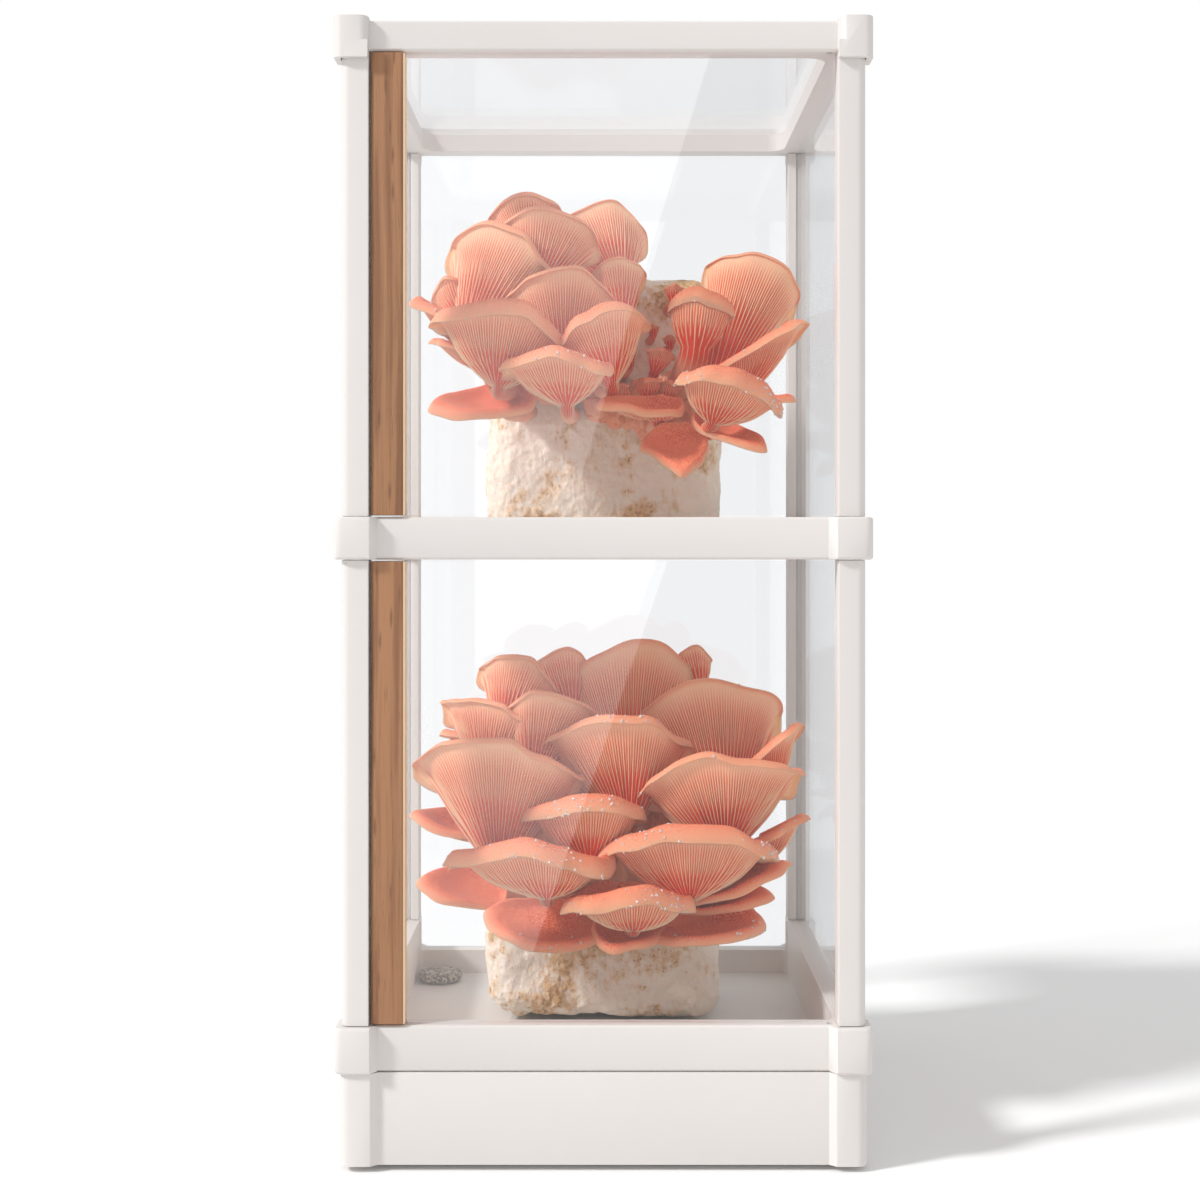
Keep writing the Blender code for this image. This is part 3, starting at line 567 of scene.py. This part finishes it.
BUTTONS = {
    "button_high":
        ((12, 470), (16, -58, 474), (0, -1, 0.2), (-0.2, 0.1, 1), (9, 8), (8, 5), 9, 3),
    "button_right":
        ((30, 464), (32, -60, 468), (0.3, -1, 0.2), (0.3, 0.1, 1), (8, 9), (8, 5), 8, 3),
    "button_middle":
        ((24, 448), (27, -66, 452), (0, -1, 0), (0, -0.2, 1), (9, 10), (9, 5), 6, 3),
    "button_left":
        ((10, 446), (11, -70, 448), (-0.3, -1, 0), (-0.2, -0.1, 1), (10, 8), (9, 5), 6, 3),
    "button_low":
        ((34, 446), (39, -62, 450), (0.2, -1, 0), (0.2, -0.1, 1), (8, 8), (8, 5), 6, 3),
    "pin_top":
        ((42, 512), (45, -26, 517), (0.3, -1, 0.4), (0, 0.2, 1), (6, 6), (5, 4), 5, 2),
    "pin_side":
        ((30, 492), (32, -27, 495), (0, -1, 0.2), (0, 0.2, 1), (4, 4), (4, 3), 3, 1),
    "pin_row":
        ((41, 486), (43, -27, 488), (0, -1, 0.2), (0, 0.2, 1), (5, 4), (4, 3), 3, 1),
}
STEM = 4.0               # radius of most stems; the thicker ones are below
STEMS = {"trumpet": 9.0, "tall_right_fan": 7.0, "long_right_tongue": 7.0}
FLESH = 3.6              # thickness of a full-grown cap
DEEPER = 1.3             # how much further down than the throat above the gills run, per rise over 24 mm
ARCH = 0.3               # how far the middle of a rim stands above its ends, per half width of the cap
LOBES = {"hanging_cap": 0.14}    # how deeply a rim is notched into five lobes
BURIED = 5.0             # how far the stems run into the block
BLOCK_FACE = -14.6       # where the blocks' front faces are, in Y
SIDES = 8                # mesh columns from one long gill to the next
ROLL = 17.65             # brings share ** 6 * (1 - share) up to 1 where it is highest
LIP = 9.5                # the same for share ** 3 * (1 - share)


def unit(vector):
    vector = np.array(vector, float)
    return vector / np.linalg.norm(vector)


def smooth(value, low, high):
    """A smooth step, 0 below low and 1 above high."""
    share = np.clip((value - low) / (high - low), 0, 1)
    return share * share * (3 - 2 * share)


def rim_turns(spread, reach, gap):
    """Directions that step evenly along the rim, all round from the back, and the number of long gills."""
    fine = np.linspace(-pi, pi, 1441)
    side = np.sin(fine) * np.where(fine > 0, spread[1], spread[0])
    ahead = np.cos(fine) * np.where(np.cos(fine) > 0, reach[0], reach[1])
    length = np.concatenate(([0], np.cumsum(np.hypot(np.diff(side), np.diff(ahead)))))
    gills = max(8, round(length[-1] / (gap * 4)))
    steps = np.linspace(0, length[-1], gills * SIDES + 1)[:-1]
    return np.interp(steps, length, fine), gills


def raise_gills(grid, shares, gills, size, dice):
    """Lift every second column as a gill; the shorter gills start part of the way up."""
    along_grid = np.gradient(grid, axis=0)
    around_grid = np.roll(grid, -1, 1) - np.roll(grid, 1, 1)
    outward = np.cross(around_grid, along_grid)
    outward /= np.linalg.norm(outward, axis=2, keepdims=True).clip(1e-9)
    column = np.arange(gills * SIDES)
    vigour = dice.uniform(0.7, 1.25, gills)[column // SIDES]
    begin = np.where(column % SIDES == 0, -2.0, np.where(column % SIDES == 4, 0.28, 0.52))
    begin = begin + dice.uniform(-0.08, 0.12, len(column))
    blade = (column % 2 == 0) * vigour * smooth(shares[:, None], begin[None, :], begin[None, :] + 0.14)
    tall = smooth(shares, -0.55, 0.35) * (1 - smooth(shares, 0.50, 0.92)) * min(1.35, 0.45 + size / 38)
    return grid + outward * (blade * tall[:, None])[..., None]


def ring_mesh(name, grid, shares, start):
    """A closed mesh from rings of points, from its buried end to its crown, with the gill_run map."""
    count = grid.shape[1]
    column = np.arange(count)
    column_next = (column + 1) % count
    crown = grid[-1].mean(0)
    points = np.concatenate((grid.reshape(-1, 3), [start, crown])) * MM
    rows = np.arange(len(grid) - 1)[:, None] * count
    quads = (rows + column, rows + column_next, rows + count + column_next, rows + count + column)
    quads = np.stack(quads, -1).reshape(-1, 4)
    last = (len(grid) - 1) * count
    base_fan = np.stack((column_next, column, np.full(count, last + count)), -1)
    crown_fan = np.stack((last + column, last + column_next, np.full(count, last + count + 1)), -1)
    corners = np.concatenate((quads.ravel(), base_fan.ravel(), crown_fan.ravel()))
    sizes = np.concatenate((np.full(len(quads), 4), np.full(2 * count, 3)))

    place = column / SIDES
    beyond = place + 1 / SIDES
    quad_around = np.broadcast_to(np.stack((place, beyond, beyond, place), -1), (len(rows), count, 4))
    lower, upper = shares[:-1, None, None], shares[1:, None, None]
    quad_along = np.broadcast_to(np.concatenate((lower, lower, upper, upper), -1), (len(rows), count, 4))
    fan_around = np.stack((place, beyond, place), -1)
    uv_around = np.concatenate((quad_around.ravel(), fan_around.ravel(), fan_around.ravel()))
    uv_along = np.concatenate((quad_along.ravel(), np.full(3 * count, -1.0), np.full(3 * count, 2.0)))

    mesh = bpy.data.meshes.new(name)
    mesh.vertices.add(len(points))
    mesh.vertices.foreach_set("co", points.ravel())
    mesh.loops.add(len(corners))
    mesh.loops.foreach_set("vertex_index", corners)
    mesh.polygons.add(len(sizes))
    mesh.polygons.foreach_set("loop_start", np.concatenate(([0], np.cumsum(sizes)[:-1])))
    mesh.update(calc_edges=True)
    uv = mesh.uv_layers.new(name="gill_run")
    uv.uv.foreach_set("vector", np.stack((uv_around, uv_along), -1).ravel())
    return mesh


def paint(mesh, title, values):
    """A named value at every point of a mesh."""
    mesh.attributes.new(title, "FLOAT", "POINT").data.foreach_set("value", values)


def grow(name, spec, seed, gap=2.1, ripeness=0.0, lobes=0.0, stem=STEM):
    """One mushroom as rings of points: up the stem, up the gill side to the margin, and back over the top."""
    foot, throat, forward, opening, spread, reach, rise, curl = spec
    dice = np.random.default_rng(seed)
    up = unit(opening)
    front = np.array(forward, float)
    front = unit(front - front.dot(up) * up)
    right = np.cross(up, front)
    sink = DEEPER * max(0.0, rise - 24)
    throat = np.array(throat, float) - up * sink
    rise = rise + sink
    start = np.array((foot[0], BLOCK_FACE + BURIED, foot[1]), float)
    size = (spread[0] + spread[1]) / 2
    stem = min(stem, size * 0.55)
    turns, gills = rim_turns(spread, reach, gap)
    sides, fronts = np.sin(turns), np.cos(turns)

    def waves(counts, fall):
        return sum(
            dice.normal() / wave ** fall * np.sin(wave * turns + dice.uniform(0, 6.3)) for wave in counts
        )

    sway = waves((2, 3, 4, 5, 7), 1)
    bulge = waves((3, 4, 6, 9), 1)
    ripple = waves((9, 13), 0)
    rim_side = sides * np.where(sides > 0, spread[1], spread[0])
    rim_front = fronts * np.where(fronts > 0, reach[0], reach[1])
    star = 1 + lobes * (0.5 - np.abs(np.sin(turns * 2.5 + 0.3)))

    rings, shares = [], []
    for travel in np.linspace(0, 1, 10)[:-1]:
        lead = throat - up * 9 * min(1, size / 20)
        centre = start * (1 - travel) ** 2 + lead * 2 * travel * (1 - travel) + throat * travel ** 2
        axis = unit((lead - start) * (1 - travel) + (throat - lead) * travel)
        across = unit(right - right.dot(axis) * axis)
        ahead = np.cross(across, axis)
        width = stem * (1 + 0.3 * (1 - travel) ** 2 + 0.05 * bulge)[:, None]
        rings.append(centre + width * (np.outer(sides, across) + np.outer(fronts, ahead)))
        shares.append(travel - 1)

    # The funnel rises fast from the throat and flattens; toward the margin it rolls, arches and wanders.
    def ring(share, thick):
        stretch = (1 + 0.10 * bulge * share ** 3) * (1 + (star - 1) * share ** 2)
        side = ((1 - share) * stem * sides + share * rim_side) * stretch
        ahead = ((1 - share) * stem * fronts + share * rim_front) * stretch
        wander = 0.07 * size * sway + 0.006 * size * ripple + 0.9 * curl + ARCH * size * (0.5 - sides ** 2)
        height = rise * (1 - (1 - share) ** 1.25) * (1 + 0.6 * np.minimum(fronts, 0))
        height += 0.7 * curl * ROLL * share ** 6 * (1 - share) + thick
        height += share ** 2 * wander
        return throat + np.outer(side, right) + np.outer(ahead, front) + np.outer(height, up)

    for share in 1 - (1 - np.linspace(0, 1, 27)) ** 1.15:
        rings.append(ring(share, 0.0))
        shares.append(share)
    ahead_only = (1 - 0.65 * np.abs(sides) ** 3) * smooth(fronts, -1.2, 0.2)
    for share in 1 - np.linspace(0, 1, 13)[1:-1] ** 2.2:
        lip = 0.8 * curl * LIP * share ** 3 * (1 - share) * ahead_only
        body = FLESH * min(1, size / 26) * (1 - share) ** 0.5 + 0.35 * rise * (1 - share) ** 4
        rings.append(ring(share, body + lip))
        shares.append(2 - share)
    shares = np.array(shares)
    grid = raise_gills(np.array(rings), shares, gills, size, dice)

    mesh = ring_mesh(name, grid, shares, start)
    wet_row = smooth(shares, 0.97, 1.0) * (1 - smooth(shares, 1.12, 1.42))
    wet_column = smooth(fronts, -0.1, 0.4) * smooth(np.sin(turns * 3 + seed), -0.9, 0.6)
    paint(mesh, "ripeness", np.full(len(mesh.vertices), ripeness))
    paint(mesh, "dew", np.append(np.outer(wet_row, wet_column).ravel(), (0, 0)))
    mesh.shade_smooth()
    mesh.validate()
    piece = bpy.data.objects.new(name, mesh)
    bpy.context.scene.collection.objects.link(piece)
    dress(piece, flesh)
    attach(piece, "cabinet")
    return piece


grown = {}
for tier, flush in (("lower", LOWER_FLUSH), ("upper", UPPER_FLUSH)):
    for seed, (title, spec) in enumerate(flush.items()):
        lobes, stem = LOBES.get(title, 0.0), STEMS.get(title, STEM)
        cap = grow(f"{tier}_{title}_cap", spec, seed + 100, lobes=lobes, stem=stem)
        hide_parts(f"{tier}_{title}")
        grown[f"{tier}_{title}"] = cap
for tier, extra in (("lower", LOWER_EXTRA), ("upper", UPPER_EXTRA)):
    for seed, (title, spec) in enumerate(extra.items()):
        grown[f"{tier}_{title}"] = grow(f"{tier}_{title}_cap", spec, seed + 300)
for seed, (title, spec) in enumerate(BUTTONS.items()):
    grown[title] = grow(title, spec, seed + 400, gap=1.6, ripeness=0.25, lobes=0.35, stem=3.0)


# The clumps' common flesh, where the stems of a clump fuse before they part: each one's middle and its
# half sizes, in millimetres.
CLUMPS = {
    "lower_clump": ((0, -24, 168), (58, 24, 46)),
    "lower_clump_top": ((4, -22, 204), (44, 20, 26)),
    "upper_clump": ((-28, -22, 486), (38, 20, 34)),
    "upper_clump_right": ((46, -24, 446), (28, 22, 20)),
    "upper_clump_bridge": ((16, -20, 448), (26, 14, 10)),
}
STEM_FLESH = -0.55       # the place on the gill_run map that is coloured as a stem
clump_grid, clump_faces = box_grid(64)
clump_grid /= np.linalg.norm(clump_grid, axis=1, keepdims=True)
for title, (middle, reach) in CLUMPS.items():
    surface = np.array(middle) + clump_grid * reach
    folds = np.abs(rough(surface * (1, 1, 0.35) * MM, 0.009, 3, 5))
    surface += clump_grid * (folds * 7)[:, None]
    clump = shape_mesh(title, surface * MM, clump_faces, flesh)
    uv = clump.data.uv_layers.new(name="gill_run")
    uv.uv.foreach_set("vector", np.full(2 * len(clump.data.loops), STEM_FLESH))
    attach(clump, "cabinet")


# ------------------------------------------------------------------ dew
# Mist from the base settles on the margins as fine round drops, thickest along the
# front rims; each drop is plain water on the cap's skin.
water = Finish(
    "water", Base_Color=(1.0, 0.87, 0.80, 1.0), Roughness=0.04, Transmission_Weight=0.35, IOR=1.33,
    Specular_IOR_Level=0.9
)
sprinkle = bpy.data.node_groups.new("sprinkle", "GeometryNodeTree")
SPRINKLE_INPUTS = {
    "Cap": "NodeSocketGeometry", "Drops per square metre": "NodeSocketFloat", "Seed": "NodeSocketInt"
}
for title, kind in SPRINKLE_INPUTS.items():
    sprinkle.interface.new_socket(title, in_out="INPUT", socket_type=kind)
sprinkle.interface.new_socket("Drops", in_out="OUTPUT", socket_type="NodeSocketGeometry")


def step(kind, **values):
    """A node of the drop-sprinkling tree with its values or links set by socket name."""
    node = sprinkle.nodes.new(kind)
    for title, value in values.items():
        socket = Finish.find(node.inputs, title.replace("_", " "))
        if isinstance(value, bpy.types.NodeSocket):
            sprinkle.links.new(value, socket)
        else:
            socket.default_value = value
    return node


LARGEST_DROP = 1.05 * MM
asked = step("NodeGroupInput").outputs
rim = step("GeometryNodeInputNamedAttribute", Name="dew")
density = step("ShaderNodeMath")
density.operation = "MULTIPLY"
sprinkle.links.new(rim.outputs["Attribute"], density.inputs[0])
sprinkle.links.new(asked["Drops per square metre"], density.inputs[1])
spots = step(
    "GeometryNodeDistributePointsOnFaces", Mesh=asked["Cap"], Density=density.outputs[0], Seed=asked["Seed"]
)
chance = step("FunctionNodeRandomValue", Min=0.22, Max=1.0, Seed=asked["Seed"])
mostly_small = step("ShaderNodeMath")
mostly_small.operation = "POWER"
sprinkle.links.new(Finish.find(chance.outputs, "Value"), mostly_small.inputs[0])
mostly_small.inputs[1].default_value = 2.5
drop = step("GeometryNodeMeshIcoSphere", Radius=LARGEST_DROP, Subdivisions=2)
round_drop = step("GeometryNodeSetShadeSmooth", Geometry=drop.outputs["Mesh"])
placed = step("GeometryNodeInstanceOnPoints", Points=spots.outputs["Points"], Instance=round_drop.outputs[0])
sprinkle.links.new(mostly_small.outputs[0], placed.inputs["Scale"])
real = step("GeometryNodeRealizeInstances", Geometry=placed.outputs[0])
wet = step("GeometryNodeSetMaterial", Geometry=real.outputs[0], Material=water.material)
given = step("NodeGroupOutput")
sprinkle.links.new(wet.outputs[0], given.inputs["Drops"])
sockets = {item.name: item.identifier for item in sprinkle.interface.items_tree if item.in_out == "INPUT"}

MIST = 1.3               # how wet the cabinet is: scales every number below, in drops per square metre
DEWY = {
    "lower_centre_funnel": 60000, "lower_left_funnel": 22000, "lower_small_centre_cap": 110000,
    "lower_front_right_cap": 90000, "lower_front_left_shelf": 60000, "lower_low_front_cap": 80000,
    "lower_low_right_cap": 40000, "lower_right_crown_fan": 9000, "lower_right_back_cap": 60000,
    "lower_right_side_cap": 40000, "lower_smooth_low_cap": 16000, "lower_right_funnel": 22000,
    "upper_front_funnel": 30000, "upper_dewy_cap": 130000, "upper_tall_right_fan": 60000,
    "upper_left_shelf": 22000, "upper_long_right_tongue": 50000, "upper_centre_funnel": 12000,
    "upper_trumpet": 26000, "upper_far_left_tongue": 20000,
}
for seed, (title, wetness) in enumerate(DEWY.items()):
    drops = bpy.data.objects.new("dew_" + title, grown[title].data)
    bpy.context.scene.collection.objects.link(drops)
    scatter = drops.modifiers.new("sprinkle", "NODES")
    scatter.node_group = sprinkle
    scatter[sockets["Drops per square metre"]] = float(wetness * MIST)
    scatter[sockets["Seed"]] = seed
    evaluated = drops.evaluated_get(bpy.context.evaluated_depsgraph_get())
    plain = bpy.data.meshes.new_from_object(evaluated)
    drops.modifiers.clear()
    drops.data = plain
    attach(drops, "cabinet")


# ------------------------------------------------------------------ room and light
# A white sweep of paper under and behind the cabinet; one large soft key from high
# on the left and an even white fill.
scene = bpy.context.scene
scene.view_settings.view_transform = "Standard"
scene.view_settings.look = "None"

world = bpy.data.worlds.new("white_room")
scene.world = world
world.use_nodes = True
world_tree = world.node_tree
fill = world_tree.nodes["Background"]
backdrop = world_tree.nodes.new("ShaderNodeBackground")
for shade, strength in ((fill, 0.70), (backdrop, 1.0)):
    shade.inputs["Color"].default_value = (1.0, 1.0, 1.0, 1.0)
    shade.inputs["Strength"].default_value = strength
ray = world_tree.nodes.new("ShaderNodeLightPath")
choose = world_tree.nodes.new("ShaderNodeMixShader")
world_tree.links.new(ray.outputs["Is Camera Ray"], choose.inputs[0])
world_tree.links.new(fill.outputs[0], choose.inputs[1])
world_tree.links.new(backdrop.outputs[0], choose.inputs[2])
world_tree.links.new(choose.outputs[0], world_tree.nodes["World Output"].inputs["Surface"])

KEY_LEFT = radians(65)   # how far round to the left of straight in front the key stands
KEY_HIGH = radians(36)
key = bpy.data.objects.new("key", bpy.data.lights.new("key", "SUN"))
key.data.energy = 2.4
key.data.angle = radians(8)
key_from = Vector((-sin(KEY_LEFT) * cos(KEY_HIGH), -cos(KEY_LEFT) * cos(KEY_HIGH), sin(KEY_HIGH)))
key.rotation_euler = key_from.to_track_quat("Z", "Y").to_euler()
scene.collection.objects.link(key)


def flat_card(name, corners, finish):
    """A stage card of one face, which is no part of the cabinet."""
    mesh = bpy.data.meshes.new(name)
    mesh.from_pydata(corners, [], [tuple(range(len(corners)))])
    card = bpy.data.objects.new(name, mesh)
    scene.collection.objects.link(card)
    dress(card, finish)
    return card


# A tall softbox behind the viewer, cut on the slant; only the doors' gloss picks it up.
SOFTBOX_BACK = -2.2
SOFTBOX_OUTLINE = (
    (-0.47, 1.224), (0.196, 1.224), (-0.081, 0.322), (0.112, 0.322), (-0.169, -0.495), (-0.47, -0.495)
)
glow = Finish(
    "softbox", Base_Color=(0.0, 0.0, 0.0, 1.0), Emission_Color=(1.0, 1.0, 1.0, 1.0), Emission_Strength=1.9
)
softbox = flat_card("softbox", [(x, SOFTBOX_BACK, z) for x, z in SOFTBOX_OUTLINE], glow)
for sense in ("camera", "diffuse", "transmission", "volume_scatter", "shadow"):
    setattr(softbox, "visible_" + sense, False)

# Away from the cabinet the paper fades into the white of the room.
paper = Finish("white_paper", Base_Color=(0.93, 0.93, 0.93, 1.0), Roughness=0.9, Specular_IOR_Level=0.1)
paper_far = paper.node("VectorMath", {"operation": "LENGTH"}, "Value", Vector=paper.place)
paper_lit = Wire(paper.tree, paper.shader.outputs[0])
paper_glow = paper.node("Emission", Color=(1.0, 1.0, 1.0, 1.0), Strength=1.0)
paper.show(paper.node("MixShader", in_order=(paper.band(paper_far, 0.55, 1.3), paper_lit, paper_glow)))
floor = flat_card("floor", [(-6, -6, 0), (6, -6, 0), (6, 6, 0), (-6, 6, 0)], paper)
floor.visible_glossy = False


# ------------------------------------------------------------------ camera
# Level with the middle of the cabinet, square to its front, at arm's length.
lens = bpy.data.cameras.new("camera")
lens.sensor_width = 36
lens.lens = 54.54
lens.shift_x = -0.0029
lens.shift_y = -0.0583
camera = bpy.data.objects.new("camera", lens)
camera.location = (0.0, -1.195, 0.369)
camera.rotation_euler = (pi / 2, 0.0, 0.0)
scene.collection.objects.link(camera)
scene.camera = camera
